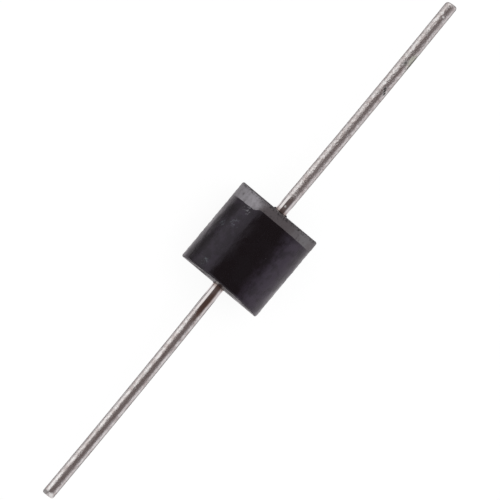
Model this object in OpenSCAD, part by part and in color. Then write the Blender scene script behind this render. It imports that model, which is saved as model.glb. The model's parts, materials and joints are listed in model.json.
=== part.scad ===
// Axial rectifier diode: a moulded cylindrical case with one straight wire lead out of each end.
//
// Frame: the leads' axis lies along X with the banded cathode end at +X, the mould's parting
// plane is z = 0, and the origin is at the middle of the case, on the axis.
// Inside, two nail-headed leads are soldered to the two faces of a square silicon chip, a ring
// of soft coating covers the chip's edge, and the case is moulded round all of them.

/* [Case] */
// Diameter of the moulded case
case_d = 9; // [8:0.1:10]
// Length of the case along the parting line
case_len = 9.1; // [8:0.1:10.5]
// Draft of each half of an end face, back from the parting line, in degrees
end_draft = 2; // [0.5:0.25:4]
// Radius of the rounded rim round each end face
rim_r = 0.2; // [0.1:0.01:0.3]

/* [Parting flash] */
// Thickness of the flash line across the parting plane
flash_t = 0.06; // [0.04:0.01:0.12]
// How far the flash line stands proud of the case
flash_h = 0.04; // [0.02:0.01:0.08]
// How far the flash creeps out of an end face along its lead
creep_len = 0.12; // [0.08:0.01:0.25]
// Width of the crept flash on each side of the lead
creep_w = 0.08; // [0.05:0.01:0.2]

/* [Cathode band] */
// Width of the ink band, back from the cathode end's parting line
band_w = 1.2; // [0.8:0.1:2]
// Thickness of the ink
ink_t = 0.03; // [0.02:0.01:0.06]

/* [Leads] */
// Diameter of the tinned wire
lead_d = 1.2; // [1:0.05:1.4]
// Length of bare lead outside the case
lead_len = 25.4; // [20:0.1:30]
// Bevel left by the shear round the wire's cut tip
tip_bevel = 0.08; // [0.03:0.01:0.2]
// Diameter of the nail head that meets the chip
head_d = 3.4; // [3.2:0.1:4.2]
// Thickness of the nail head
head_t = 0.9; // [0.6:0.05:1.3]
// Bevel round the nail head's two rims
head_bevel = 0.08; // [0.04:0.01:0.15]
// Radius of the cold-formed neck between the head and the wire
neck_r = 0.25; // [0.1:0.05:0.4]
// How much the wire's radius grows from the case's end face in to the neck, which locks it in
neck_taper = 0.15; // [0.05:0.01:0.25]
// How far inside the case the taper starts
taper_depth = 0.1; // [0.05:0.01:0.2]

/* [Junction] */
// Width of the square silicon chip
chip_w = 2.4; // [1.8:0.1:2.6]
// Thickness of the chip
chip_t = 0.28; // [0.2:0.02:0.4]
// Bevel etched round the chip's cathode-side face
mesa_bevel = 0.1; // [0.04:0.01:0.15]
// Thickness of each solder joint
solder_t = 0.06; // [0.03:0.01:0.1]
// How far a solder joint stays inside the edge of the chip's face
solder_inset = 0.05; // [0.02:0.01:0.2]
// How far the coating laps along the rim of each nail head
coat_lap = 0.5; // [0.2:0.05:0.55]
// How far the coating bulges past the nail heads' rims
coat_bulge = 0.45; // [0.3:0.05:0.8]

/* [Hidden] */

$fn = 96;
case_r = case_d / 2;
lead_r = lead_d / 2;
head_r = head_d / 2;
end_x = case_len / 2;                        // the parting line's crest on each end face
tip_x = end_x + lead_len;                    // a lead's cut tip
head_x = chip_t / 2 + solder_t;              // the face of each nail head
solder_d = chip_w - 2 * mesa_bevel - 2 * solder_inset;
coat_x = head_x + coat_lap;                  // where the coating runs out on a nail head's rim
rim_meet = 30;                               // angle between the rim's curve and the case's side where they meet
rim_flare = 15;                              // angle of the flare behind the rim
spare = 1;                                   // how far a cutting or limiting shape runs past what it cuts

// Turns a shape made along +Z to lie along +X.
module along_x() {
    rotate([0, 90, 0]) children();
}

// One end face with its rounded rim, facing +Z at z = 0, and flared behind the rim, so that only
// the rim and the face trim the case. The rim's curve crosses the case's side at rim_meet.
module end_face(r, reach) {
    centre = [r - rim_r * cos(rim_meet), -rim_r];
    leave = centre + rim_r * [cos(rim_flare), sin(rim_flare)];
    rotate_extrude()
        union() {
            polygon([[0, 0], [centre[0], 0], leave,
                     leave + reach * [tan(rim_flare), -1], [0, leave[1] - reach]]);
            translate(centre) circle(rim_r);
        }
}

// All that lies behind one half of one end face. x_side is 1 at the cathode end and -1 at the
// anode end, and z_side is 1 above the parting plane and -1 below it.
module behind_end(x_side, z_side) {
    translate([x_side * end_x, 0, 0])
        rotate([0, x_side * (90 - z_side * end_draft), 0])
            end_face(case_r / cos(end_draft), case_len + 2 * spare);
}

// Half of the case's outer form: a half cylinder between two drafted ends.
module case_half(z_side) {
    intersection() {
        along_x() cylinder(r = case_r, h = case_len + 2 * spare, center = true);
        behind_end(1, z_side);
        behind_end(-1, z_side);
        translate([0, 0, z_side * case_d / 2]) cube([2 * case_len, 2 * case_d, case_d], center = true);
    }
}

// The thin flash that the mould leaves on the parting line and beside the leads.
module parting_flash() {
    crest_x = end_x + flash_h;
    crest_y = case_r + flash_h;
    corner_r = rim_r + flash_h;
    linear_extrude(flash_t, center = true) {
        square([2 * crest_x, 2 * (crest_y - corner_r)], center = true);
        square([2 * (crest_x - corner_r), 2 * crest_y], center = true);
        for (x_side = [-1, 1], y_side = [-1, 1])
            translate([x_side * (crest_x - corner_r), y_side * (crest_y - corner_r)]) circle(corner_r);
        square([2 * (end_x + creep_len), lead_d + 2 * creep_w], center = true);
    }
}

// The case as it leaves the mould: its two halves and the flash between them.
module case_outside() {
    case_half(1);
    case_half(-1);
    parting_flash();
}

// One nail-headed wire along +Z, cut from a single profile, with its head face at head_x.
module nail_lead_form() {
    neck_z = head_x + head_t;
    root_r = lead_r + neck_taper;
    fillet = [root_r + neck_r, neck_z + neck_r];
    rotate_extrude()
        difference() {
            polygon([[0, head_x], [head_r - head_bevel, head_x], [head_r, head_x + head_bevel],
                     [head_r, neck_z - head_bevel], [head_r - head_bevel, neck_z],
                     [fillet[0], neck_z], fillet, [root_r, fillet[1]],
                     [lead_r, end_x - taper_depth],
                     [lead_r, tip_x - tip_bevel], [lead_r - tip_bevel, tip_x], [0, tip_x]]);
            translate(fillet) circle(neck_r);
        }
}

module cathode_lead_form() {
    along_x() nail_lead_form();
}

module anode_lead_form() {
    mirror([1, 0, 0]) along_x() nail_lead_form();
}

module solder_form() {
    translate([chip_t / 2, 0, 0]) along_x() cylinder(d = solder_d, h = solder_t);
}

// A square plate with its cathode-side edges bevelled all round.
module chip_form() {
    profile = [[-chip_t / 2, -chip_w / 2], [chip_t / 2 - mesa_bevel, -chip_w / 2],
               [chip_t / 2, mesa_bevel - chip_w / 2], [chip_t / 2, chip_w / 2 - mesa_bevel],
               [chip_t / 2 - mesa_bevel, chip_w / 2], [-chip_t / 2, chip_w / 2]];
    intersection() {
        linear_extrude(chip_w, center = true) polygon(profile);
        rotate([90, 0, 0]) linear_extrude(chip_w, center = true) polygon(profile);
    }
}

// The coating's outside: a barrel whose bulge runs out on the nail heads' rims at coat_x.
module coating_outside() {
    arc_r = (coat_x * coat_x + coat_bulge * coat_bulge) / (2 * coat_bulge);
    crest_r = head_r + coat_bulge;
    along_x() rotate_extrude()
        intersection() {
            union() {
                translate([crest_r - arc_r, 0]) circle(arc_r);
                translate([0, -coat_x]) square([head_r, 2 * coat_x]);
            }
            translate([0, -coat_x]) square([crest_r + spare, 2 * coat_x]);
        }
}

module band_form() {
    difference() {
        intersection() {
            case_outside();
            translate([end_x - band_w, -case_d, -case_d]) cube([band_w + spare, 2 * case_d, 2 * case_d]);
        }
        along_x() cylinder(r = case_r - ink_t, h = end_x + 2 * spare);
    }
}

// Black epoxy, moulded over everything that lies inside it.
module molded_body() {
    color([0.11, 0.1, 0.11])
        difference() {
            case_outside();
            band_form();
            cathode_lead_form();
            anode_lead_form();
            coating_outside();
        }
}

module cathode_band() {
    color([0.42, 0.41, 0.42]) band_form();
}

module cathode_lead() {
    color([0.76, 0.74, 0.73]) cathode_lead_form();
}

module anode_lead() {
    color([0.76, 0.74, 0.73]) anode_lead_form();
}

module cathode_solder() {
    color([0.62, 0.62, 0.64]) solder_form();
}

module anode_solder() {
    color([0.62, 0.62, 0.64]) mirror([1, 0, 0]) solder_form();
}

module silicon_chip() {
    color([0.3, 0.32, 0.38]) chip_form();
}

// Soft coating round the chip's edge, filling the space between the two nail heads.
module junction_coating() {
    color([0.85, 0.84, 0.8])
        difference() {
            coating_outside();
            cathode_lead_form();
            anode_lead_form();
            chip_form();
            solder_form();
            mirror([1, 0, 0]) solder_form();
        }
}

molded_body();
cathode_band();
cathode_lead();
anode_lead();
cathode_solder();
anode_solder();
silicon_chip();
junction_coating();
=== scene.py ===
"""Looks of an axial rectifier diode: moulded case, printed band, tinned leads and the studio.

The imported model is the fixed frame. The leads' axis lies along X with the banded cathode end at
+X, and the mould's parting plane is z = 0. Sizes here are in millimetres, and a finished piece is
scaled to metres. The case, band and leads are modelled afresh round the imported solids, and the
chip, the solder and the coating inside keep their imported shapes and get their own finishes.
"""

import json
import logging
import math
from collections.abc import Callable, Iterable, Sequence
from dataclasses import dataclass
from enum import Enum

import bmesh
import bpy
from mathutils import Matrix, Vector, noise


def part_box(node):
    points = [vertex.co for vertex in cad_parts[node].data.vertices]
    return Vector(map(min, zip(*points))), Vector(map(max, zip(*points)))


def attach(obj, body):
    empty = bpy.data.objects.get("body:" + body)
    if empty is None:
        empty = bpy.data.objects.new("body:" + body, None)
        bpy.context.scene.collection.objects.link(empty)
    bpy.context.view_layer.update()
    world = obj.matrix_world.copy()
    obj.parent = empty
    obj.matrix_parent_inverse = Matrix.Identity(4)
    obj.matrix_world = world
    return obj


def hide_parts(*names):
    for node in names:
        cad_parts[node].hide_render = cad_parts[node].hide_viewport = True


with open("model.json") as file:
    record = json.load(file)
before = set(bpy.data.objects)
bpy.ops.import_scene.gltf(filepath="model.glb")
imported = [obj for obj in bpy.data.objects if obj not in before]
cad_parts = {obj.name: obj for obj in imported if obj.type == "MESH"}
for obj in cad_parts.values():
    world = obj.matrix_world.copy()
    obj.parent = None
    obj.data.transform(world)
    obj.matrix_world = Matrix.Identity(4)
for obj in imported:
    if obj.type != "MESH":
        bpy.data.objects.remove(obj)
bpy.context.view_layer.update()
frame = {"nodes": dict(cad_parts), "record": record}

LOG = logging.getLogger("diode")
MM = 0.001
ROOT = "root"

# Vertices nearer than this are one, in millimetres.
SEAM_MERGE = 1e-5
# Edges that turn more sharply than this aren't shaded smooth.
CREASE_ANGLE = math.radians(38)
# The skin reaches this many rim radii in from the case's side, and its normals have at least
# this cosine with the way out.
SKIN_DEPTH = 1.5
FACING = 0.2

Colour = tuple[float, float, float]
Triple = tuple[float, float, float]
Point = tuple[float, float]
Pair = tuple[float, float]
Socket = bpy.types.NodeSocket

WHITE: Colour = (1.0, 1.0, 1.0)


def rgba(colour: Colour) -> tuple[float, float, float, float]:
    """Returns a colour with its alpha of one."""
    return (*colour, 1.0)


def smooth(value: float, low: float, high: float) -> float:
    """Runs from 0 at low to 1 at high, with a soft start and end.

    Args:
        value: What is placed between the two limits.
        low: Where the result leaves 0.
        high: Where the result reaches 1.

    Returns:
        The smooth step.
    """
    share = min(1.0, max(0.0, (value - low) / (high - low)))
    return share * share * (3.0 - 2.0 * share)


def arc(centre: Point, radius: float, start: float, end: float, steps: int) -> list[Point]:
    """Points along an arc, both ends included.

    Args:
        centre: The arc's centre, as place along the axis and radius.
        radius: The arc's own radius.
        start: The first point's angle in degrees from the axis.
        end: The last point's angle in degrees.
        steps: How many chords the arc has.

    Returns:
        The points in order.
    """
    turns = [math.radians(start + (end - start) * i / steps) for i in range(steps + 1)]
    return [(centre[0] + radius * math.cos(t), centre[1] + radius * math.sin(t)) for t in turns]


def spaced(first: float, last: float, steps: int) -> list[float]:
    """Returns steps + 1 even places from first to last."""
    return [first + (last - first) * i / steps for i in range(steps + 1)]


def spun(profile: Sequence[Point], steps: int, closed: bool) -> bmesh.types.BMesh:
    """Spins a profile once round the X axis.

    Args:
        profile: Points as place along X and radius, in millimetres.
        steps: Segments in the full turn.
        closed: Whether the last point joins the first, as on a ring.

    Returns:
        A closed mesh in millimetres with its faces pointing outwards.
    """
    mesh = bmesh.new()
    points = [mesh.verts.new((x, radius, 0.0)) for x, radius in profile]
    edges = [mesh.edges.new(pair) for pair in zip(points, points[1:])]
    if closed:
        edges.append(mesh.edges.new((points[-1], points[0])))
    bmesh.ops.spin(
        mesh, geom=points + edges, cent=(0, 0, 0), axis=(1, 0, 0), dvec=(0, 0, 0),
        angle=math.tau, steps=steps, use_merge=True, use_normal_flip=False, use_duplicate=False)
    bmesh.ops.remove_doubles(mesh, verts=mesh.verts, dist=SEAM_MERGE)
    bmesh.ops.recalc_face_normals(mesh, faces=mesh.faces)
    return mesh


def shift(mesh: bmesh.types.BMesh, move: Callable[[Vector], Vector]) -> None:
    """Moves every vertex of a mesh by what move gives for its place.

    Args:
        mesh: The mesh to change.
        move: Takes a vertex's place and returns the step that it makes.
    """
    for vert in mesh.verts:
        vert.co += move(vert.co.copy())


def finished(
    mesh: bmesh.types.BMesh, name: str, material: bpy.types.Material, node: str
) -> bpy.types.Object:
    """Turns a mesh in millimetres into a piece of the part.

    Args:
        mesh: The modelled mesh, which is freed.
        name: The piece's name.
        material: Its finish.
        node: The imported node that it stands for.

    Returns:
        The piece, riding on the part's one body.
    """
    bmesh.ops.recalc_face_normals(mesh, faces=mesh.faces)
    bmesh.ops.scale(mesh, vec=(MM, MM, MM), verts=mesh.verts)
    for face in mesh.faces:
        face.smooth = True
    for edge in mesh.edges:
        edge.smooth = edge.smooth and edge.calc_face_angle() < CREASE_ANGLE
    data = bpy.data.meshes.new(name)
    mesh.to_mesh(data)
    mesh.free()
    data.materials.append(material)
    piece = bpy.data.objects.new(name, data)
    bpy.context.scene.collection.objects.link(piece)
    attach(piece, ROOT)
    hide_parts(node)
    return piece


class End(Enum):
    """The part's two ends, valued by the side of the X axis that each lies on."""

    CATHODE = 1
    ANODE = -1

    @property
    def lead_node(self) -> str:
        """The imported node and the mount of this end's lead."""
        return f"{self.name.lower()}_lead"


def box_mm(node: str) -> tuple[Vector, Vector]:
    """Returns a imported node's lowest and highest corners in millimetres."""
    low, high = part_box(node)
    return low / MM, high / MM


@dataclass(frozen=True)
class Packed:
    """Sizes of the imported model, in millimetres, that the new pieces are built to.

    Attributes:
        case_r: Radius of the case.
        end_x: The parting line's crest on the cathode end face.
        tip_x: The cathode lead's cut tip.
        lead_r: Radius of the wire.
        head_r: Radius of the nail heads.
        head_x: The cathode nail head's face.
        coat_r: The coating's largest radius.
        coat_x: Where the coating ends on a nail head's rim.
        band_x: Where the band starts.
        head_t: Thickness of the nail heads, which no box tells, so it repeats the part's value.
        root_grow: How much the leads thicken towards the heads, repeated in the same way.
        taper_depth: How far inside the case that thickening starts, repeated too.
    """

    case_r: float
    end_x: float
    tip_x: float
    lead_r: float
    head_r: float
    head_x: float
    coat_r: float
    coat_x: float
    band_x: float
    head_t: float = 0.9
    root_grow: float = 0.15
    taper_depth: float = 0.1

    @classmethod
    def read(cls) -> "Packed":
        """Reads the sizes from the frame's boxes and from the cathode lead's mount.

        Returns:
            The sizes.
        """
        lead = End.CATHODE.lead_node
        mount = next(m for m in frame["record"]["mounts"] if m["name"] == lead)
        lead_low, lead_high = box_mm(lead)
        coat_high = box_mm("junction_coating")[1]
        return cls(
            case_r=box_mm("molded_body")[1].z,
            end_x=mount["pos_m"][0] / MM - mount["dims"]["length_mm"] / 2,
            tip_x=lead_high.x,
            lead_r=mount["dims"]["r_mm"],
            head_r=lead_high.y,
            head_x=lead_low.x,
            coat_r=coat_high.y,
            coat_x=coat_high.x,
            band_x=box_mm("cathode_band")[0].x)


class Shade:
    """A node tree under construction.

    Inputs may be numbers, colours, vectors or the output sockets of other nodes.

    Attributes:
        SPOT_CELLS: Cells to a spot's radius of the noise that frays its edge.
        SPOT_WANDER: How strongly that noise moves the edge.
        SPOT_EDGE: Where a spot has ended and where it is full, in radii plus the noise.
    """

    SPOT_CELLS = 1.3
    SPOT_WANDER = 1.8
    SPOT_EDGE = (2.2, 1.3)

    def __init__(self, tree: bpy.types.NodeTree) -> None:
        """Clears the tree and keeps it."""
        self.tree = tree
        tree.nodes.clear()

    def node(self, kind: str, inputs: dict | None = None, **settings: object) -> bpy.types.Node:
        """Adds a node.

        Args:
            kind: Blender's name of the node's type.
            inputs: Values or sockets by the input's name or index.
            **settings: Properties of the node itself.

        Returns:
            The new node.
        """
        made = self.tree.nodes.new(kind)
        for name, value in settings.items():
            setattr(made, name, value)
        for name, value in (inputs or {}).items():
            if isinstance(value, Socket):
                self.tree.links.new(value, made.inputs[name])
            else:
                made.inputs[name].default_value = value
        return made

    def calc(self, operation: str, first: float | Socket, second: float | Socket = 0.0) -> Socket:
        """Returns the result of one Math node."""
        return self.node("ShaderNodeMath", {0: first, 1: second}, operation=operation).outputs[0]

    def place(self) -> Socket:
        """Finds the surface point.

        Returns:
            The point in the part's frame, in millimetres.
        """
        here = self.node("ShaderNodeTexCoord").outputs["Object"]
        scaled = self.node("ShaderNodeVectorMath", {0: here, "Scale": 1 / MM}, operation="SCALE")
        return scaled.outputs[0]

    def parts(self, vector: Socket) -> tuple[Socket, Socket, Socket]:
        """Returns a vector's three components."""
        split = self.node("ShaderNodeSeparateXYZ", {0: vector})
        return split.outputs[0], split.outputs[1], split.outputs[2]

    def stretched(self, vector: Socket, scale: Triple, centre: Triple = (0, 0, 0)) -> Socket:
        """Moves a point by minus centre and scales it, for a pattern that runs one way.

        Args:
            vector: The point.
            scale: The scale along each axis.
            centre: What becomes the pattern's origin.

        Returns:
            The changed point.
        """
        shifted = self.node("ShaderNodeVectorMath", {0: vector, 1: centre}, operation="SUBTRACT")
        scaled = self.node(
            "ShaderNodeVectorMath", {0: shifted.outputs[0], 1: scale}, operation="MULTIPLY")
        return scaled.outputs[0]

    def noise(self, vector: Socket, scale: float, detail: float = 3.0, rough: float = 0.55) -> Socket:
        """Returns a noise between 0 and 1, with scale in cells to the millimetre."""
        inputs = {"Vector": vector, "Scale": scale, "Detail": detail, "Roughness": rough}
        return self.node("ShaderNodeTexNoise", inputs).outputs[0]

    def cells(self, vector: Socket, scale: float) -> Socket:
        """Returns the distance to the nearest of scattered points, with scale in cells to the mm."""
        return self.node("ShaderNodeTexVoronoi", {"Vector": vector, "Scale": scale}).outputs[0]

    def step(
        self, value: Socket, low: float, high: float, first: float = 0.0, last: float = 1.0
    ) -> Socket:
        """Runs smoothly from first at low to last at high.

        Args:
            value: What is placed between the two limits.
            low: Where the result leaves first. It may lie above high.
            high: Where the result reaches last.
            first: The result below low.
            last: The result above high.

        Returns:
            The result.
        """
        if low > high:
            low, high, first, last = high, low, last, first
        inputs = {0: value, 1: low, 2: high, 3: first, 4: last}
        made = self.node("ShaderNodeMapRange", inputs, interpolation_type="SMOOTHSTEP")
        return made.outputs[0]

    def product(self, *factors: float | Socket) -> Socket:
        """Returns the product of several numbers."""
        result = factors[0]
        for factor in factors[1:]:
            result = self.calc("MULTIPLY", result, factor)
        return result

    def blend(self, share: float | Socket, first: Colour | Socket, second: Colour | Socket) -> Socket:
        """Mixes two colours.

        Args:
            share: How much of the second shows.
            first: The colour at share 0.
            second: The colour at share 1.

        Returns:
            The mixed colour.
        """
        colours = [c if isinstance(c, Socket) else rgba(c) for c in (first, second)]
        inputs = {0: share, 6: colours[0], 7: colours[1]}
        return self.node("ShaderNodeMix", inputs, data_type="RGBA").outputs[2]

    def near(self, point: Socket, centre: Triple, size: float, reach: Triple) -> Socket:
        """A spot with a ragged edge.

        Args:
            point: The surface point in millimetres.
            centre: The spot's middle.
            size: The spot's radius.
            reach: How many times the radius it runs along each axis.

        Returns:
            One inside the spot, and zero outside it.
        """
        local = self.stretched(point, tuple(1 / (size * r) for r in reach), centre)
        length = self.node("ShaderNodeVectorMath", {0: local}, operation="LENGTH").outputs["Value"]
        frayed = self.noise(point, self.SPOT_CELLS / size, 4.0, 0.6)
        wander = self.product(frayed, self.SPOT_WANDER)
        return self.step(self.calc("ADD", length, wander), *self.SPOT_EDGE)

    def bump(self, height: Socket, depth: float, under: Socket | None = None) -> Socket:
        """Turns a height between 0 and 1 into a normal.

        Args:
            height: The height field.
            depth: The height of 1, in millimetres.
            under: A normal that this one is added to.

        Returns:
            The normal.
        """
        inputs: dict = {"Strength": 1.0, "Distance": depth * MM, "Height": height}
        if under is not None:
            inputs["Normal"] = under
        return self.node("ShaderNodeBump", inputs).outputs[0]

    def by_ray(self, seen: Socket, mirrored: Socket, other: Socket) -> Socket:
        """Picks a shader by the kind of ray that meets it.

        Args:
            seen: What the camera sees.
            mirrored: What shiny surfaces and glass show.
            other: What all other light meets.

        Returns:
            The combined shader.
        """
        path = self.node("ShaderNodeLightPath").outputs
        mirror = self.calc("MAXIMUM", path["Is Glossy Ray"], path["Is Transmission Ray"])
        unseen = self.node("ShaderNodeMixShader", {0: mirror, 1: other, 2: mirrored}).outputs[0]
        inputs = {0: path["Is Camera Ray"], 1: unseen, 2: seen}
        return self.node("ShaderNodeMixShader", inputs).outputs[0]

    def surface(self, inputs: dict, shader: str = "ShaderNodeBsdfPrincipled") -> None:
        """Ends the tree in one shader."""
        made = self.node(shader, inputs)
        self.node("ShaderNodeOutputMaterial", {"Surface": made.outputs[0]})


def new_material(name: str) -> tuple[bpy.types.Material, Shade]:
    """Makes an empty node material.

    Args:
        name: The material's name.

    Returns:
        The material and its tree.
    """
    material = bpy.data.materials.new(name)
    material.use_nodes = True
    return material, Shade(material.node_tree)


@dataclass(frozen=True)
class Mark:
    """A small stain, speck, scrape, painted highlight or painted shade on a surface.

    Attributes:
        centre: Where it lies, in millimetres.
        size: Its radius.
        colour: What shows there.
        reach: How many times the radius it runs along each axis.
        strength: How far it covers what is under it.
        grain: Cells to the millimetre of the specks that it breaks up into, or 0 for a whole spot.
        shiny: Whether metal under it still shines through.
    """

    centre: Triple
    size: float
    colour: Colour
    reach: Triple = (1, 1, 1)
    strength: float = 1.0
    grain: float = 0.0
    shiny: bool = False

    def cover(self, shade: Shade, point: Socket) -> Socket:
        """How far the mark covers what is under it.

        Args:
            shade: The tree.
            point: The surface point in millimetres.

        Returns:
            The mark's strength inside it, and zero outside.
        """
        spot = shade.near(point, self.centre, self.size, self.reach)
        if self.grain > 0:
            specks = shade.noise(point, self.grain, 4.0, 0.65)
            spot = shade.product(spot, shade.step(specks, 0.5, 0.6))
        return shade.product(spot, self.strength)


@dataclass(frozen=True)
class EpoxyFinish:
    """Semi-gloss black moulding compound with a paler seam, dusty haze and partly painted sheen.

    Attributes:
        black: The clean compound.
        haze_and_sheen: A dusty haze that dulls it, also laid on the flanks as painted sheen.
        fleck: The pale specks in it, and its worn seam.
        gloss: Tint of its highlights.
        rough: Its roughness, which strays a little to both sides.
        scuffs_and_glints: Knocks and scratches along the +Y flank, partly painted highlight.
    """

    black: Colour = (0.0062, 0.0042, 0.0047)
    haze_and_sheen: Colour = (0.027, 0.0195, 0.03)
    fleck: Colour = (0.2, 0.19, 0.2)
    gloss: Colour = (0.72, 0.665, 0.8)
    rough: float = 0.27
    scuffs_and_glints: tuple[Mark, ...] = (
        Mark((2.6, 2.5, 3.7), 0.42, (0.2, 0.2, 0.21), (1.2, 1.3, 1.3), 0.6, 3.4),
        Mark((0.9, 2.7, 3.6), 0.45, (0.13, 0.14, 0.16), (1.1, 1.3, 1.3), 0.5, 3.0),
        Mark((0.3, 3.6, 2.7), 0.3, (0.12, 0.14, 0.15), (1.2, 1.0, 1.4), 0.5, 3.6),
        Mark((-3.5, 2.5, 3.7), 0.36, (0.15, 0.17, 0.18), (1.5, 1.0, 1.2), 0.45, 4.2))

    def dust_and_sheen(self, shade: Shade, x: Socket, y: Socket, patchy: Socket) -> Socket:
        """Haze on the -Y flank, more towards its edge and less by the cathode end, partly painted
        sheen.

        Args:
            shade: The tree.
            x: Place along the case.
            y: Place across it.
            patchy: A broad noise.

        Returns:
            The share of haze.
        """
        clean = shade.product(shade.step(x, 0.4, 1.6), shade.step(y, -3.1, -4.1))
        return shade.product(
            shade.step(y, -1.3, -3.6), shade.step(patchy, 0.34, 0.62, 0.4, 1.2),
            shade.step(clean, 0.0, 1.0, 1.0, 0.25))

    def flank_haze_and_sheen(self, shade: Shade, y: Socket, patchy: Socket) -> Socket:
        """Patchy haze on both flanks, kept off the top and bottom: partly dull skin, partly painted
        sheen.

        Args:
            shade: The tree.
            y: Place across the case.
            patchy: A broad noise.

        Returns:
            The share of haze.
        """
        away = shade.step(shade.calc("ABSOLUTE", y), 1.1, 2.2)
        return shade.product(shade.step(patchy, 0.42, 0.66, 0.0, 0.5), away)

    def specks(self, shade: Shade, point: Socket) -> Socket:
        """Small pale specks in loose groups.

        Args:
            shade: The tree.
            point: The surface point in millimetres.

        Returns:
            The share of fleck.
        """
        return shade.product(
            shade.step(shade.cells(point, 2.1), 0.1, 0.04),
            shade.step(shade.noise(point, 1.7), 0.52, 0.6), 0.45)

    def worn_seam(
        self, shade: Shade, x: Socket, y: Socket, cloud: Socket, patchy: Socket
    ) -> Socket:
        """How pale the -Y side is worn by the seam, less so towards the cathode end.

        Args:
            shade: The tree.
            x: Place along the case.
            y: Place across it.
            cloud: A very broad noise.
            patchy: A broad noise.

        Returns:
            The share of fleck.
        """
        return shade.product(
            shade.step(y, -4.0, -4.45),
            shade.step(shade.calc("ADD", x, shade.product(cloud, 6.0)), 5.0, 2.8),
            shade.step(patchy, 0.38, 0.62, 0.15, 1.0), 0.35)

    def material(self) -> bpy.types.Material:
        """Builds the material.

        Returns:
            The case's finish.
        """
        material, shade = new_material("black_epoxy")
        point = shade.place()
        x, y = shade.parts(point)[:2]
        cloud = shade.noise(point, 0.7)
        grain = shade.noise(point, 11.0, 4.0)
        patchy = shade.noise(point, 1.3, 3.0)
        # The -Y flank is lightened towards its edge: dusty haze, partly painted sheen.
        base = shade.blend(self.dust_and_sheen(shade, x, y, patchy), self.black, self.haze_and_sheen)
        base = shade.blend(shade.step(grain, 0.55, 0.85, 0.0, 0.35), base, self.haze_and_sheen)
        base = shade.blend(self.specks(shade, point), base, self.fleck)
        # Patches lightened on both flanks only, partly as painted sheen.
        base = shade.blend(self.flank_haze_and_sheen(shade, y, patchy), base, self.haze_and_sheen)
        base = shade.blend(self.worn_seam(shade, x, y, cloud, patchy), base, self.fleck)
        # Speckled spots along the +Y flank, partly painted highlight.
        for scuff_glint in self.scuffs_and_glints:
            base = shade.blend(scuff_glint.cover(shade, point), base, scuff_glint.colour)
        rough = shade.step(cloud, 0.3, 0.7, self.rough - 0.06, self.rough + 0.1)
        normal = shade.bump(shade.noise(shade.stretched(point, (0.6, 1, 1)), 0.9, 3.0), 0.06)
        normal = shade.bump(grain, 0.0025, normal)
        shade.surface({
            "Base Color": base, "Roughness": rough, "IOR": 1.52,
            "Specular Tint": rgba(self.gloss), "Normal": normal})
        return material


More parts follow.
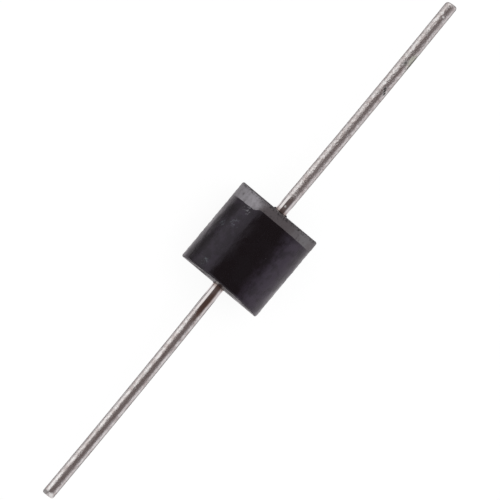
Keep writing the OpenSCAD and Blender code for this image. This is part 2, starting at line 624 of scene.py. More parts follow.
@dataclass(frozen=True)
class BandInk:
    """Thin grey ink on the black case, worn at the rim, with partly painted sheen and a painted
    highlight.

    Attributes:
        thin: The ink where it is thinnest.
        full: The ink on the flanks, lighter than on top, partly as painted sheen.
        painted_highlight: A highlight painted into the ink, high on the +Y flank.
        bare: The case where the ink is gone.
        rim_slope: How much nearer the rim is to the case's middle, for each millimetre off the seam.
        highlight_blot: The painted highlight's brightest spot, by the lower edge.
    """

    thin: Colour = (0.082, 0.069, 0.074)
    full: Colour = (0.135, 0.127, 0.135)
    painted_highlight: Colour = (0.36, 0.34, 0.37)
    bare: Colour = (0.02, 0.017, 0.019)
    rim_slope: float = 0.052
    highlight_blot: Mark = Mark((3.5, 2.5, 3.7), 0.5, (0.36, 0.34, 0.37), (0.9, 1.7, 2.5), 0.45)

    def even(self, shade: Shade, y: Socket, streak: Socket) -> Socket:
        """How much lighter the ink is on the flanks than on top, partly as painted sheen.

        Args:
            shade: The tree.
            y: Place across the case.
            streak: The ink's streaks.

        Returns:
            The share of full ink.
        """
        return shade.product(
            shade.step(shade.calc("ABSOLUTE", y), 1.2, 3.4),
            shade.step(streak, 0.3, 0.6, 0.45, 1.15), shade.step(y, -4.35, -3.5, 0.3, 1.0))

    def painted_highlight_share(self, shade: Shade, point: Socket, streak: Socket, end_x: float) -> Socket:
        """Where the painted highlight lies, streaky and high on the +Y flank.

        Args:
            shade: The tree.
            point: The surface point in millimetres.
            streak: The ink's streaks.
            end_x: Place of the cathode end face.

        Returns:
            The share of painted highlight.
        """
        x, y, z = shade.parts(point)
        return shade.product(
            shade.step(shade.calc("ADD", y, shade.product(streak, 2.5)), 2.3, 4.1),
            shade.step(z, -1.0, 0.4), shade.step(y, 4.4, 3.6, 0.55, 1.0),
            shade.step(x, end_x - 0.1, end_x - 0.5, 0.5, 1.0),
            shade.step(streak, 0.3, 0.6, 0.3, 1.1), 0.62)

    def worn_rim(self, shade: Shade, point: Socket, end_x: float) -> Socket:
        """How far the ink is worn off at the rim.

        Args:
            shade: The tree.
            point: The surface point in millimetres.
            end_x: Place of the cathode end face.

        Returns:
            The share of bare case.
        """
        x, _, z = shade.parts(point)
        rim = shade.calc("ADD", x, shade.product(shade.calc("ABSOLUTE", z), self.rim_slope))
        return shade.product(
            shade.step(rim, end_x - 0.36, end_x - 0.12),
            shade.step(shade.noise(point, 3.6, 4.0, 0.6), 0.44, 0.58))

    def material(self, packed: Packed) -> bpy.types.Material:
        """Builds the material.

        Args:
            packed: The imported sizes.

        Returns:
            The band's finish.
        """
        material, shade = new_material("grey_band_ink")
        point = shade.place()
        streak = shade.noise(shade.stretched(point, (1.0, 1.3, 1.3)), 1.6, 4.0, 0.65)
        # The flanks are lighter than the top, partly as painted sheen.
        base = shade.blend(self.even(shade, shade.parts(point)[1], streak), self.thin, self.full)
        base = shade.blend(shade.step(streak, 0.42, 0.3, 0.0, 0.4), base, self.bare)
        # A highlight painted into the ink high on the +Y flank, brightest in one blot.
        base = shade.blend(self.painted_highlight_share(shade, point, streak, packed.end_x), base, self.painted_highlight)
        base = shade.blend(self.highlight_blot.cover(shade, point), base, self.highlight_blot.colour)
        base = shade.blend(self.worn_rim(shade, point, packed.end_x), base, self.bare)
        normal = shade.bump(shade.noise(point, 7.0, 4.0), 0.003)
        shade.surface({
            "Base Color": base, "Roughness": shade.step(streak, 0.3, 0.7, 0.4, 0.58),
            "IOR": 1.5, "Normal": normal})
        return material


@dataclass(frozen=True)
class TinFinish:
    """Tin-plated copper wire, smooth by the case and softly mottled further out.

    Attributes:
        bright: The paler patches of the mottled plating.
        dull: Its darker patches.
        plain: The even plating by the case.
        resin: The brown film where the epoxy ends.
        film_len: How far the film runs out along the lead.
        film_share: How far it covers the plating at the case.
        polish: The share of the roughness that the even plating has.
    """

    bright: Colour = (0.94, 0.925, 0.91)
    dull: Colour = (0.66, 0.595, 0.575)
    plain: Colour = (0.78, 0.75, 0.74)
    resin: Colour = (0.3, 0.22, 0.19)
    film_len: float = 0.5
    film_share: float = 0.8
    polish: float = 0.28

    def relief(
        self, shade: Shade, point: Socket, mottle: Socket, speckle: Socket, mottling: float
    ) -> Socket:
        """The plating's lumps, drawing lines and pits.

        Args:
            shade: The tree.
            point: The surface point in millimetres.
            mottle: Height of the broad lumps.
            speckle: Height of the small lumps.
            mottling: How strong both are.

        Returns:
            The normal.
        """
        lines = shade.noise(shade.stretched(point, (0.05, 1, 1)), 9.0, 2.0)
        pits = shade.step(shade.cells(point, 3.2), 0.0, 0.18)
        normal = shade.bump(mottle, 0.06 * mottling)
        normal = shade.bump(speckle, 0.05 * mottling, normal)
        normal = shade.bump(lines, 0.003, normal)
        return shade.bump(pits, 0.004, normal)

    def material(
        self, name: str, packed: Packed, smooth_len: float, mottling: float, marks: Iterable[Mark]
    ) -> bpy.types.Material:
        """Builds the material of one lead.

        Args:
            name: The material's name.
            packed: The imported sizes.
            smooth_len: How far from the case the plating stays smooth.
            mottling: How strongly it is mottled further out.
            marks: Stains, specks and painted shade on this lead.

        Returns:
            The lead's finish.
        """
        material, shade = new_material(name)
        point = shade.place()
        along = shade.calc("ABSOLUTE", shade.parts(point)[0])
        out = shade.step(along, packed.end_x + smooth_len * 0.7, packed.end_x + smooth_len * 1.3)
        mottle = shade.noise(shade.stretched(point, (0.55, 1, 1)), 2.4, 4.0, 0.6)
        speckle = shade.noise(point, 5.5, 3.0, 0.6)
        base = shade.blend(shade.step(mottle, 0.4, 0.7), self.bright, self.dull)
        base = shade.blend(shade.step(speckle, 0.46, 0.66, 0.0, 0.85 * mottling), base, self.dull)
        base = shade.blend(out, self.plain, base)
        film = shade.step(along, packed.end_x + self.film_len, packed.end_x, 0.0, self.film_share)
        base = shade.blend(film, base, self.resin)
        metal: float | Socket = 1.0
        for mark in marks:
            cover = mark.cover(shade, point)
            base = shade.blend(cover, base, mark.colour)
            if not mark.shiny:
                metal = shade.product(metal, shade.calc("SUBTRACT", 1.0, cover))
        rough = shade.step(mottle, 0.3, 0.7, 0.22 + 0.08 * mottling, 0.34 + 0.12 * mottling)
        rough = shade.product(rough, shade.step(out, 0.0, 1.0, self.polish, 1.0))
        lumps = (shade.product(height, out) for height in (mottle, speckle))
        normal = self.relief(shade, point, *lumps, mottling)
        shade.surface({
            "Base Color": base, "Metallic": metal, "Roughness": rough, "Normal": normal})
        return material


@dataclass(frozen=True)
class InnerFinish:
    """A plain mottled finish for a piece sealed inside the case.

    Attributes:
        name: The material's name.
        nodes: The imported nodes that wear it.
        light: The paler colour.
        dark: The darker colour.
        metal: How metallic it is.
        rough: Its roughness.
        scale: Its mottling, in cells to the millimetre.
        relief: The depth of its grain, in millimetres.
    """

    name: str
    nodes: tuple[str, ...]
    light: Colour
    dark: Colour
    metal: float
    rough: float
    scale: float
    relief: float

    def dress(self) -> list[bpy.types.Object]:
        """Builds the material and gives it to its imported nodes.

        Returns:
            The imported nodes' objects.
        """
        material, shade = new_material(self.name)
        point = shade.place()
        mottle = shade.noise(point, self.scale, 4.0, 0.6)
        base = shade.blend(shade.step(mottle, 0.35, 0.65), self.light, self.dark)
        shade.surface({
            "Base Color": base, "Metallic": self.metal,
            "Roughness": shade.step(mottle, 0.3, 0.7, self.rough, self.rough + 0.12),
            "Normal": shade.bump(shade.noise(point, self.scale * 3), self.relief)})
        pieces = [frame["nodes"][node] for node in self.nodes]
        for piece in pieces:
            piece.data.materials.clear()
            piece.data.materials.append(material)
        return pieces


@dataclass(frozen=True)
class PaperFinish:
    """White paper that keeps the part's shadow, and shows pale in the metal's reflections.

    Places are in millimetres along the leads' axis (x) and across it (y). Each pair gives where a
    change starts and where it is full.

    Attributes:
        shown: Strength at which the camera sees the paper.
        catch: Grey of the paper that takes the lamp's light and the part's shadow.
        plain: Grey of the paper for all light but reflections.
        tint: The paper's colour in the metal.
        level: Its strength in the metal.
        under: Its strength right under the leads, with the leads' shadow painted in.
        lead_shadow_y: Where that painted shadow starts across the axis.
        lead_shadow_x: Where it starts along the axis.
        strip: What is left of its strength in a dark strip on the +Y side.
        strip_near: Where that strip starts.
        strip_far: Where it ends, read from far away.
        right: What is left of its strength on the -Y side.
        right_y: Where that side starts.
    """

    shown: float = 0.91
    catch: Colour = (0.12, 0.12, 0.12)
    plain: Colour = (0.8, 0.8, 0.8)
    tint: Colour = (1.0, 0.95, 0.975)
    level: float = 0.85
    under: float = 0.15
    lead_shadow_y: Pair = (8.0, 5.0)
    lead_shadow_x: Pair = (5.2, 6.2)
    strip: float = 0.3
    strip_near: Pair = (9.0, 14.0)
    strip_far: Pair = (90.0, 60.0)
    right: float = 0.78
    right_y: Pair = (-4.0, -8.0)

    def strength(self, shade: Shade) -> Socket:
        """How bright the paper is in the metal's reflections, with the leads' shadow painted in under
        them.

        Args:
            shade: The tree.

        Returns:
            The strength.
        """
        x, y = shade.parts(shade.place())[:2]
        # The leads' shadow, painted on the paper where the metal mirrors it.
        shaded = shade.product(
            shade.step(shade.calc("ABSOLUTE", y), *self.lead_shadow_y),
            shade.step(shade.calc("ABSOLUTE", x), *self.lead_shadow_x))
        gap = shade.product(shade.step(y, *self.strip_near), shade.step(y, *self.strip_far))
        return shade.product(
            shade.step(shaded, 0.0, 1.0, self.level, self.under),
            shade.step(gap, 0.0, 1.0, 1.0, self.strip), shade.step(y, *self.right_y, 1.0, self.right))

    def material(self) -> bpy.types.Material:
        """Builds the material, which is clear from below.

        Returns:
            The floor's finish.
        """
        material, shade = new_material("white_paper")
        seen = shade.node("ShaderNodeEmission", {"Color": rgba(WHITE), "Strength": self.shown})
        paper = shade.node("ShaderNodeBsdfDiffuse", {"Color": rgba(self.catch)})
        shown = shade.node("ShaderNodeAddShader", {0: seen.outputs[0], 1: paper.outputs[0]})
        glow = shade.node(
            "ShaderNodeEmission", {"Color": rgba(self.tint), "Strength": self.strength(shade)})
        plain = shade.node("ShaderNodeBsdfDiffuse", {"Color": rgba(self.plain)})
        above = shade.by_ray(shown.outputs[0], glow.outputs[0], plain.outputs[0])
        clear = shade.node("ShaderNodeBsdfTransparent").outputs[0]
        behind = shade.node("ShaderNodeNewGeometry").outputs["Backfacing"]
        shade.surface({0: behind, 1: above, 2: clear}, "ShaderNodeMixShader")
        return material


@dataclass(frozen=True)
class WhiteRoom:
    """A white room whose ceiling has a dark opening round the camera.

    Attributes:
        opening: Colour of the opening.
        opening_lean: How far the opening lies towards -Y from straight up, in degrees.
        opening_edge: Its soft edge, as two angles from its middle in degrees.
        left: Colour of the wall on the +Y side.
        right_high: Colour of the other wall high up.
        right_low: Its colour low down.
        right_edge: The heights between which it changes.
        corner: The places across the leads between which one wall passes into the other.
        fill: Strength of the light from all round.
    """

    opening: Colour = (0.127, 0.1, 0.098)
    opening_lean: float = 8.0
    opening_edge: Pair = (51.0, 42.0)
    left: Colour = (0.98, 0.965, 0.97)
    right_high: Colour = (0.27, 0.25, 0.27)
    right_low: Colour = (0.92, 0.89, 0.9)
    right_edge: Pair = (0.65, -0.1)
    corner: Pair = (-0.1, 0.3)
    fill: float = 0.7

    def mirrored(self, shade: Shade) -> Socket:
        """The colour that the part mirrors from each way.

        Args:
            shade: The tree.

        Returns:
            The colour.
        """
        way = shade.node("ShaderNodeTexCoord").outputs["Generated"]
        y, z = shade.parts(way)[1:]
        lean = math.radians(self.opening_lean)
        height = shade.calc(
            "SUBTRACT", shade.product(z, math.cos(lean)), shade.product(y, math.sin(lean)))
        edge = (math.cos(math.radians(angle)) for angle in self.opening_edge)
        right = shade.blend(shade.step(z, *self.right_edge), self.right_high, self.right_low)
        wall = shade.blend(shade.step(y, *self.corner), right, self.left)
        return shade.blend(shade.step(height, *edge), wall, self.opening)

    def world(self) -> bpy.types.World:
        """Builds the surroundings, which are plain white behind the part.

        Returns:
            The world.
        """
        world = bpy.data.worlds.new("white_room")
        world.use_nodes = True
        shade = Shade(world.node_tree)
        seen = shade.node("ShaderNodeBackground", {0: rgba(WHITE), 1: 1.0}).outputs[0]
        shine = shade.node("ShaderNodeBackground", {0: self.mirrored(shade), 1: 1.0}).outputs[0]
        fill = shade.node("ShaderNodeBackground", {0: rgba(WHITE), 1: self.fill}).outputs[0]
        shade.node("ShaderNodeOutputWorld", {"Surface": shade.by_ray(seen, shine, fill)})
        return world


@dataclass
class MoldedSkin:
    """What the case and the band over it share: the drafted ends, the wobble and the flash.

    Attributes:
        packed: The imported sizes.
        draft: Lean of each half of an end face, in degrees.
        rim_r: Radius of the rounded rim round each end face.
        rim_steps: Chords in the rim's curve.
        rim_margin: Side left between the straight rings and the leaning rim.
        turn_steps: Segments round the case.
        flash_t: Thickness of the flash line at its root.
        flash_h: The most that the flash stands proud.
        flash_least: The least that it stands proud, as a share of the most.
        flash_taper: Thickness at its crest, as a share of that at its root.
        creep_len: How far the flash creeps out beside a lead.
        creep_w: Width of the crept flash on each side of the lead.
        flash_noise: Cells to the millimetre, seed and strength of its coarse and fine raggedness.
        wobble: How far the moulded side strays from a true cylinder.
        wobble_cells: That waviness, in cells to the millimetre.
    """

    packed: Packed
    draft: float = 3.0
    rim_r: float = 0.2
    rim_steps: int = 6
    rim_margin: float = 0.1
    turn_steps: int = 128
    flash_t: float = 0.06
    flash_h: float = 0.03
    flash_least: float = 0.12
    flash_taper: float = 0.45
    creep_len: float = 0.1
    creep_w: float = 0.14
    flash_noise: tuple[Triple, ...] = ((2.7, 4.2, 0.9), (9.0, 1.3, 0.4))
    wobble: float = 0.004
    wobble_cells: float = 0.9

    def straight_reach(self) -> float:
        """Finds how far the side runs straight, short of the rim where it leans most.

        Returns:
            The distance from the case's middle.
        """
        leant = self.packed.case_r * math.tan(math.radians(self.draft))
        return self.packed.end_x - self.rim_r - leant - self.rim_margin

    def outward(self, place: Vector) -> Vector:
        """Finds the way out of the parting line's outline.

        Args:
            place: A point on the outline.

        Returns:
            The way out, one long.
        """
        core_x = self.packed.end_x - self.rim_r
        core_y = self.packed.case_r - self.rim_r
        core = Vector((
            min(core_x, max(-core_x, place.x)), min(core_y, max(-core_y, place.y)), 0))
        return (Vector((place.x, place.y, 0)) - core).normalized()

    def lean_ends(self, mesh: bmesh.types.BMesh) -> None:
        """Leans both halves of each end face back from the parting line.

        Args:
            mesh: The mesh to change.
        """
        slope = math.tan(math.radians(self.draft))
        start = self.packed.end_x - self.rim_r - SEAM_MERGE

        def lean(place: Vector) -> Vector:
            """Returns the step back of a place, none on the straight side."""
            if abs(place.x) < start:
                return Vector()
            return Vector((-math.copysign(abs(place.z) * slope, place.x), 0, 0))

        shift(mesh, lean)

    def wobble_side(self, mesh: bmesh.types.BMesh) -> None:
        """Lets the moulded side stray a few thousandths of a millimetre.

        Args:
            mesh: The mesh to change.
        """

        def stray(place: Vector) -> Vector:
            """Returns the step out of a place, none away from the side."""
            spoke = Vector((0, place.y, place.z))
            if spoke.length < self.packed.case_r - self.rim_r:
                return Vector()
            return spoke.normalized() * self.wobble * noise.noise(place * self.wobble_cells)

        shift(mesh, stray)

    def flash_height(self, place: Vector) -> float:
        """How far the flash stands out at a place on the parting line.

        Args:
            place: A point on the outline.

        Returns:
            The height in millimetres.
        """
        ragged = 0.5
        for cells, seed, strength in self.flash_noise:
            ragged += strength * noise.noise(Vector((place.x * cells, place.y * cells, seed)))
        height = self.flash_h * min(1.0, max(self.flash_least, ragged))
        if place.x > self.packed.end_x - self.rim_r:
            beside = abs(abs(place.y) - self.packed.lead_r - self.creep_w * 0.4)
            height += (self.creep_len - height) * smooth(beside, self.creep_w, self.creep_w * 0.3)
        return height

    def raise_flash(self, mesh: bmesh.types.BMesh) -> None:
        """Pulls the ragged flash line out of the skin along the parting plane, with a crisp root.

        Args:
            mesh: The mesh to change.
        """
        for side in (-1, 1):
            bmesh.ops.bisect_plane(
                mesh, geom=mesh.verts[:] + mesh.edges[:] + mesh.faces[:], dist=SEAM_MERGE,
                plane_co=(0, 0, side * self.flash_t / 2), plane_no=(0, 0, 1))
        bmesh.ops.recalc_face_normals(mesh, faces=mesh.faces)
        strip = [face for face in mesh.faces if self.on_parting_line(face)]
        root = self.outline(mesh, strip)
        raised = bmesh.ops.extrude_face_region(mesh, geom=strip)
        bmesh.ops.delete(mesh, geom=strip, context="FACES")
        for edge in root:
            edge.smooth = False
        for item in raised["geom"]:
            if isinstance(item, bmesh.types.BMVert):
                item.co += self.outward(item.co) * self.flash_height(item.co)
                item.co.z *= self.flash_taper

    def outline(
        self, mesh: bmesh.types.BMesh, region: list[bmesh.types.BMFace]
    ) -> list[bmesh.types.BMEdge]:
        """Finds the edges that bound a region of faces.

        Args:
            mesh: The mesh.
            region: The faces.

        Returns:
            The edges with exactly one face in the region.
        """
        members = set(region)
        return [edge for edge in mesh.edges if len(members.intersection(edge.link_faces)) == 1]

    def on_parting_line(self, face: bmesh.types.BMFace) -> bool:
        """Tells whether a face is part of the outer skin between the flash's two edges.

        Args:
            face: The face.

        Returns:
            True where the flash stands on it.
        """
        middle = face.calc_center_median()
        between = abs(middle.z) < self.flash_t / 2
        on_side = abs(middle.y) > self.packed.case_r - self.rim_r * SKIN_DEPTH
        on_end = abs(middle.x) > self.packed.end_x - SEAM_MERGE
        faces_out = face.normal.dot(self.outward(middle)) > FACING
        return between and (on_side or on_end) and faces_out


@dataclass
class MoldedCase(MoldedSkin):
    """The case: one moulding with a hole for each lead and a hollow for what it holds.

    Attributes:
        cathode_lip: How far the epoxy climbs the cathode lead, and how far that spreads round it.
        anode_lip: The same at the anode lead.
        lip_curve: The lip's shape from the lead outwards, as shares of its height and spread.
        face_inner: Radius of an end face's innermost ring.
        face_outer: How far inside the case's radius its outermost ring lies.
        face_steps: Steps between those rings.
        side_steps: Rings along the straight side.
    """

    cathode_lip: Pair = (0.05, 0.16)
    anode_lip: Pair = (0.02, 0.08)
    lip_curve: tuple[Pair, ...] = ((1.0, 0.0), (0.45, 0.25), (0.12, 0.6), (0.0, 1.0))
    face_inner: float = 0.9
    face_outer: float = 0.4
    face_steps: int = 7
    side_steps: int = 56

    def outer_half(self, lip: Pair) -> list[Point]:
        """The profile from a lead's hole out to the rim, on the cathode's side.

        Args:
            lip: The height and spread of the epoxy's climb up the lead.

        Returns:
            The points in order.
        """
        size = self.packed
        height, spread = lip
        climb = [(size.end_x + height * up, size.lead_r + spread * out) for up, out in self.lip_curve]
        rings = spaced(self.face_inner, size.case_r - self.face_outer, self.face_steps)
        face = [(size.end_x, radius) for radius in rings]
        rim = arc(
            (size.end_x - self.rim_r, size.case_r - self.rim_r), self.rim_r, 0, 90, self.rim_steps)
        return climb + face + rim

    def hollow(self) -> list[Point]:
        """The hollow's profile, from the anode lead's hole to the cathode lead's.

        Returns:
            The points in order.
        """
        size = self.packed
        neck_x = size.head_x + size.head_t
        barrel = (size.coat_x * 0.5, size.coat_r - (size.coat_r - size.head_r) * 0.25)
        half = [
            barrel, (size.coat_x, size.head_r), (neck_x, size.head_r),
            (neck_x, size.lead_r + size.root_grow), (size.end_x - size.taper_depth, size.lead_r)]
        return [(-x, r) for x, r in reversed(half)] + [(0.0, size.coat_r)] + half

    def build(self, finish: EpoxyFinish) -> bpy.types.Object:
        """Models the case.

        Args:
            finish: The epoxy.

        Returns:
            The piece.
        """
        reach = self.straight_reach()
        side = [(x, self.packed.case_r) for x in spaced(reach, -reach, self.side_steps)]
        near_half = self.outer_half(self.cathode_lip)
        far_half = [(-x, radius) for x, radius in reversed(self.outer_half(self.anode_lip))]
        mesh = spun(near_half + side + far_half + self.hollow(), self.turn_steps, closed=True)
        self.wobble_side(mesh)
        self.lean_ends(mesh)
        self.raise_flash(mesh)
        return finished(mesh, "molded_case", finish.material(), "molded_body")


@dataclass
class PrintedBand(MoldedSkin):
    """The ink band: a thin skin on the case's side that wraps onto the cathode rim.

    Attributes:
        ink_t: Thickness of the ink.
        wrap: How far round the rim the ink reaches, in degrees.
        smear: How much lower the band runs on the +Y flank, where it carries its painted highlight.
        smear_start: Where it gets lower, in degrees round from the top towards +Y.
        smear_end: Where it is back at its usual edge.
        ragged: How far its lower edge wanders.
        ragged_cells: That wandering, in cells to the degree.
        edge_w: Width of its sloping lower edge.
        side_steps: Rings along the straight side.
        wrap_steps: Chords round the rim.
    """

    ink_t: float = 0.012
    wrap: float = 50.0
    smear: float = 0.36
    smear_start: Pair = (20, 28)
    smear_end: Pair = (96, 110)
    ragged: float = 0.03
    ragged_cells: float = 0.11
    edge_w: float = 0.02
    side_steps: int = 8
    wrap_steps: int = 5

    def drop(self, place: Vector) -> float:
        """How far the band's lower edge lies below its true line at a place.

        Args:
            place: A point on the lower edge.

        Returns:
            The distance in millimetres.
        """
        turn = math.degrees(math.atan2(place.y, place.z))
        started = smooth(turn, *self.smear_start) * (1 - smooth(turn, *self.smear_end))
        wander = noise.noise(Vector((turn * self.ragged_cells, 2.0, 5.0)))
        return self.smear * started + self.ragged * wander

    def build(self, finish: BandInk) -> bpy.types.Object:
        """Models the band.

        Args:
            finish: The ink.

        Returns:
            The piece.
        """
        size = self.packed
        centre = (size.end_x - self.rim_r, size.case_r - self.rim_r)
        outer_r = size.case_r + self.ink_t
        edge_x = size.band_x + self.edge_w
        reach = self.straight_reach()
        side = [(x, outer_r) for x in spaced(edge_x, reach, self.side_steps)]
        rim = arc(centre, self.rim_r + self.ink_t, 90, 90 - self.wrap, self.wrap_steps)
        back = arc(centre, self.rim_r - self.ink_t, 90 - self.wrap, 90, self.wrap_steps)
        profile = [(size.band_x, size.case_r)] + side + rim + back
        profile.append((edge_x, size.case_r - self.ink_t))
        mesh = spun(profile, self.turn_steps, closed=True)
        self.wobble_side(mesh)

        def lower(place: Vector) -> Vector:
            """Returns the step down of a place, full at the lower edge and none at the rim."""
            share = 1 - smooth(place.x, edge_x, reach)
            return Vector((-self.drop(place) * share, 0, 0))

        shift(mesh, lower)
        self.lean_ends(mesh)
        self.raise_flash(mesh)
        return finished(mesh, "printed_band", finish.material(size), "cathode_band")


@dataclass
class NailLead:
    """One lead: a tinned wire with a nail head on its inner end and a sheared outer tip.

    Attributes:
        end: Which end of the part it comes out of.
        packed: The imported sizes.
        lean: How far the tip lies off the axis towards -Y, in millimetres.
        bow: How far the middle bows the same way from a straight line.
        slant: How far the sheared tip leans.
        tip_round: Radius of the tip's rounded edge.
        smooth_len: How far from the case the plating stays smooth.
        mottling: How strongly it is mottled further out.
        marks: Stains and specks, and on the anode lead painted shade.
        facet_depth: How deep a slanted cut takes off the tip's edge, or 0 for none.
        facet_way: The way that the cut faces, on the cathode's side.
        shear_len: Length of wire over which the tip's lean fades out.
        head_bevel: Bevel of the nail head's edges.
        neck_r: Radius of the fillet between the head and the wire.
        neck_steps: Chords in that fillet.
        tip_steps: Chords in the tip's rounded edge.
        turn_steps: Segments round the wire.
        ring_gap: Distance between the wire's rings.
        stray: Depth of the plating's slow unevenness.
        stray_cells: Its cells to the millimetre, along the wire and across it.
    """

    end: End
    packed: Packed
    lean: float
    bow: float
    slant: float
    tip_round: float
    smooth_len: float
    mottling: float
    marks: tuple[Mark, ...] = ()
    facet_depth: float = 0.0
    facet_way: Triple = (0.6, 0.35, 0.72)
    shear_len: float = 0.5
    head_bevel: float = 0.08
    neck_r: float = 0.25
    neck_steps: int = 4
    tip_steps: int = 5
    turn_steps: int = 48
    ring_gap: float = 0.18
    stray: float = 0.008
    stray_cells: Pair = (0.8, 1.8)

    def profile(self) -> list[Point]:
        """The lead's profile from the nail head's face to the cut tip.

        Returns:
            The points in order, from axis to axis.
        """
        size = self.packed
        neck_x = size.head_x + size.head_t
        root_r = size.lead_r + size.root_grow
        head = [
            (size.head_x, 0.0), (size.head_x, size.head_r - self.head_bevel),
            (size.head_x + self.head_bevel, size.head_r),
            (neck_x - self.head_bevel, size.head_r), (neck_x, size.head_r - self.head_bevel)]
        fillet = (neck_x + self.neck_r, root_r + self.neck_r)
        neck = arc(fillet, self.neck_r, 180, 270, self.neck_steps)
        start = size.end_x - size.taper_depth
        last = size.tip_x - self.tip_round
        wire = [(x, size.lead_r) for x in spaced(start, last, round((last - start) / self.ring_gap))]
        corner = (last, size.lead_r - self.tip_round)
        tip = arc(corner, self.tip_round, 90, 0, self.tip_steps)[1:]
        face = [(size.tip_x, size.lead_r * 0.5), (size.tip_x, 0.0)]
        return head + neck + wire + tip + face

    def bend(self, place: Vector) -> Vector:
        """The step from a straight even wire to the real one.

        Args:
            place: A point on the straight wire, on the cathode's side.

        Returns:
            The step in millimetres.
        """
        size = self.packed
        share = (place.x - size.end_x) / (size.tip_x - size.end_x)
        if share <= 0:
            return Vector()
        sideways = self.lean * share + self.bow * 4 * share * (1 - share)
        bowed = Vector((0, self.end.value * -sideways, 0))
        spoke = Vector((0, place.y, place.z))
        cells_x, cells_r = self.stray_cells
        uneven = spoke.normalized() * self.stray * noise.noise(
            Vector((place.x * cells_x, place.y * cells_r, place.z * cells_r + self.end.value * 7)))
        near_tip = smooth(place.x, size.tip_x - self.shear_len, size.tip_x)
        sheared = near_tip * (place.y / size.lead_r - 1)
        return bowed + uneven * smooth(share, 0, 0.02) + Vector((sheared * self.slant / 2, 0, 0))

    def cut_facet(self, mesh: bmesh.types.BMesh) -> None:
        """Takes the slanted cut off the edge of the straight wire's tip.

        Args:
            mesh: The mesh to change.
        """
        way = Vector(self.facet_way).normalized()
        spoke = Vector((0, way.y, way.z)).normalized() * self.packed.lead_r
        corner = Vector((self.packed.tip_x, spoke.y, spoke.z))
        cut = bmesh.ops.bisect_plane(
            mesh, geom=mesh.verts[:] + mesh.edges[:] + mesh.faces[:], dist=SEAM_MERGE,
            plane_co=corner - way * self.facet_depth, plane_no=way, clear_outer=True)
        rim = [item for item in cut["geom_cut"] if isinstance(item, bmesh.types.BMEdge)]
        bmesh.ops.holes_fill(mesh, edges=rim, sides=0)

    def build(self, finish: TinFinish) -> bpy.types.Object:
        """Models the lead.

        Args:
            finish: The plating.

        Returns:
            The piece.
        """
        mesh = spun(self.profile(), self.turn_steps, closed=False)
        if self.facet_depth > 0:
            self.cut_facet(mesh)
        shift(mesh, self.bend)
        if self.end is End.ANODE:
            half_turn = Matrix.Rotation(math.pi, 3, "Z")
            bmesh.ops.rotate(mesh, verts=mesh.verts, cent=(0, 0, 0), matrix=half_turn)
        name = f"{self.end.name.lower()}_wire"
        material = finish.material(
            f"tin_{name}", self.packed, self.smooth_len, self.mottling, self.marks)
        return finished(mesh, name, material, self.end.lead_node)


@dataclass
class Studio:
    """The camera, the pale floor, the soft lamp and the surroundings that the part mirrors.

    Attributes:
        packed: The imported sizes.
        heading: Turn of the leads' axis in the picture, in degrees above level.
        lean: How far the camera leans towards the anode end, in degrees.
        distance: From the camera to the part, in millimetres.
        frame_width: Width of what the camera sees at the part.
        offset: How far right and down the picture's middle lies from the case's.
        sensor: The camera's sensor width.
        floor_size: Side of the square floor.
        floor_gap: How far under the case it lies.
        lamp_power: The lamp's power, in watts.
        lamp_size: The lamp's width.
        lamp_place: The lamp's middle.
        paper: The floor's finish.
        room: The surroundings.
    """

    packed: Packed
    heading: float = 50.15
    lean: float = 1.5
    distance: float = 500.0
    frame_width: float = 47.1
    offset: Pair = (0.052, 0.062)
    sensor: float = 36.0
    floor_size: float = 4000.0
    floor_gap: float = 0.02
    lamp_power: float = 0.8
    lamp_size: float = 400.0
    lamp_place: Triple = (120.0, -160.0, 520.0)
    paper: PaperFinish = PaperFinish()
    room: WhiteRoom = WhiteRoom()

    def camera(self) -> None:
        """Sets the camera above the part."""
        lean, turn = math.radians(self.lean), math.radians(self.heading)
        back = Vector((-math.sin(lean), 0, math.cos(lean)))
        along = Vector((math.cos(lean), 0, math.sin(lean)))
        side = Vector((0, 1, 0))
        right = along * math.cos(turn) - side * math.sin(turn)
        up = along * math.sin(turn) + side * math.cos(turn)
        aim = right * self.offset[0] - up * self.offset[1]
        data = bpy.data.cameras.new("picture_camera")
        data.sensor_width = self.sensor
        data.lens = self.sensor * self.distance / self.frame_width
        data.clip_start = 10 * MM
        data.clip_end = 10.0
        camera = bpy.data.objects.new("picture_camera", data)
        turned = Matrix((right, up, back)).transposed().to_4x4()
        camera.matrix_world = Matrix.Translation((aim + back * self.distance) * MM) @ turned
        bpy.context.scene.collection.objects.link(camera)
        bpy.context.scene.camera = camera

    def floor(self) -> None:
        """Lays the pale floor just under the case."""
        mesh = bmesh.new()
        bmesh.ops.create_grid(mesh, x_segments=1, y_segments=1, size=self.floor_size / 2)
        depth = self.packed.case_r + self.floor_gap
        bmesh.ops.translate(mesh, verts=mesh.verts, vec=(0, 0, -depth))
        bmesh.ops.scale(mesh, vec=(MM, MM, MM), verts=mesh.verts)
        data = bpy.data.meshes.new("floor")
        mesh.to_mesh(data)
        mesh.free()
        data.materials.append(self.paper.material())
        floor = bpy.data.objects.new("floor", data)
        bpy.context.scene.collection.objects.link(floor)

    def lamp(self) -> None:
        """Hangs one broad soft lamp above the part, outside what it mirrors."""
        data = bpy.data.lights.new("soft_lamp", "AREA")
        data.shape = "DISK"
        data.size = self.lamp_size * MM
        data.energy = self.lamp_power
        lamp = bpy.data.objects.new("soft_lamp", data)
        lamp.location = Vector(self.lamp_place) * MM
        lamp.rotation_mode = "QUATERNION"
        lamp.rotation_quaternion = Vector(self.lamp_place).to_track_quat("Z", "Y")
        lamp.visible_glossy = False
        bpy.context.scene.collection.objects.link(lamp)

    def build(self) -> None:
        """Sets up the whole studio."""
        bpy.context.scene.view_settings.view_transform = "Standard"
        self.camera()
        self.floor()
        bpy.context.scene.world = self.room.world()
        self.lamp()
        LOG.info("studio: camera, floor, surroundings and one soft lamp")


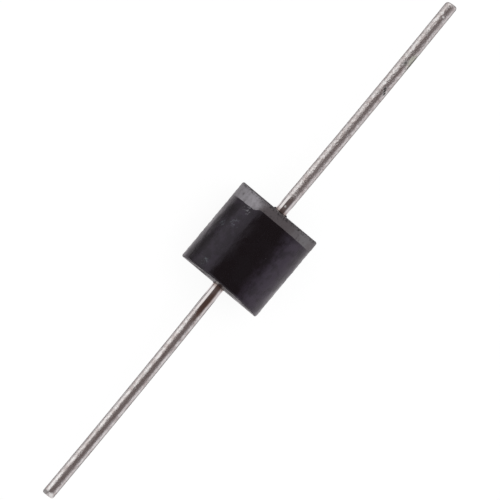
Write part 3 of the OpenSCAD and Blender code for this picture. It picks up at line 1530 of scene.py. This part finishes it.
INNER_FINISHES = (
    InnerFinish(
        name="dull_solder", nodes=("cathode_solder", "anode_solder"), light=(0.62, 0.62, 0.64),
        dark=(0.45, 0.45, 0.48), metal=1.0, rough=0.38, scale=6.0, relief=0.004),
    InnerFinish(
        name="lapped_silicon", nodes=("silicon_chip",), light=(0.24, 0.26, 0.31),
        dark=(0.15, 0.16, 0.2), metal=0.6, rough=0.3, scale=9.0, relief=0.001),
    InnerFinish(
        name="milky_silicone", nodes=("junction_coating",), light=(0.8, 0.78, 0.72),
        dark=(0.68, 0.66, 0.6), metal=0.0, rough=0.35, scale=1.5, relief=0.004))

# Nicks, stains, bright spots and painted shade on the leads, from the tips inwards.
NICK_BLACK: Colour = (0.03, 0.025, 0.025)

CATHODE_MARKS = (
    Mark((29.75, 0.05, 0.5), 0.3, (0.8, 0.77, 0.75), (0.6, 1.6, 3.0), 0.6, 5.0),
    Mark((28.5, 0.0, 0.6), 0.13, (0.75, 0.73, 0.72), (1, 1, 3), 0.6),
    Mark((28.8, 0.3, 0.5), 0.13, (0.9, 0.88, 0.87), (1, 1, 3), 0.8),
    Mark((23.45, -0.32, 0.5), 0.24, (0.36, 0.38, 0.27), (2.8, 0.8, 3.0), 0.65),
    Mark((23.2, -0.56, 0.2), 0.15, (0.06, 0.065, 0.035), (9.0, 1.0, 4.0), 0.9),
    Mark((22.9, -0.05, 0.6), 0.2, (0.05, 0.045, 0.04), (1.4, 0.8, 3.0), 0.9),
    Mark((19.8, -0.1, 0.58), 0.19, NICK_BLACK, (1.1, 0.6, 3.0)),
    Mark((19.6, -0.23, 0.54), 0.2, NICK_BLACK, (1.1, 0.6, 3.0)),
    Mark((19.38, -0.37, 0.45), 0.19, NICK_BLACK, (1.1, 0.6, 3.0)),
    Mark((20.2, 0.32, 0.5), 0.16, (0.88, 0.86, 0.85), (1.4, 1, 3)),
    Mark((6.6, 0.02, 0.6), 0.2, (0.55, 0.53, 0.52), (2.6, 0.8, 3.0), 0.7, 5.0),
    Mark((5.25, 0.0, 0.6), 0.11, (0.6, 0.58, 0.57), (1, 1, 3)))

ANODE_MARKS = (
    # A brown streak along the anode lead's top by the case: painted shade that darkens its reflection.
    Mark((-6.6, -0.14, 0.6), 0.9, (0.42, 0.29, 0.23), (2.5, 0.34, 2.0), 0.85, shiny=True),
    Mark((-29.75, 0.1, 0.45), 0.3, (0.07, 0.06, 0.06), (0.7, 1.2, 3.0), 0.7),
    Mark((-29.72, -0.5, 0.45), 0.27, (0.86, 0.84, 0.83), (0.85, 1.0, 3.0), 0.85))


def main() -> None:
    """Builds the studio and every piece of the diode."""
    logging.basicConfig(level=logging.INFO, format="%(name)s: %(message)s")
    packed = Packed.read()
    LOG.info("packed sizes: %s", packed)
    Studio(packed).build()
    tin = TinFinish()
    cathode_lead = NailLead(
        End.CATHODE, packed, lean=-0.095, bow=0.06, slant=-0.12, tip_round=0.28, smooth_len=1.6,
        mottling=1.0, marks=CATHODE_MARKS)
    anode_lead = NailLead(
        End.ANODE, packed, lean=0.22, bow=0.07, slant=-0.04, tip_round=0.22, smooth_len=2.9,
        mottling=0.55, marks=ANODE_MARKS, facet_depth=0.27)
    pieces = [
        MoldedCase(packed).build(EpoxyFinish()), PrintedBand(packed).build(BandInk()),
        cathode_lead.build(tin), anode_lead.build(tin)]
    for finish in INNER_FINISHES:
        pieces.extend(finish.dress())
    for piece in pieces:
        LOG.info("%s: %d faces, %s", piece.name, len(piece.data.polygons), piece.data.materials[0].name)


if __name__ == "__main__":
    main()
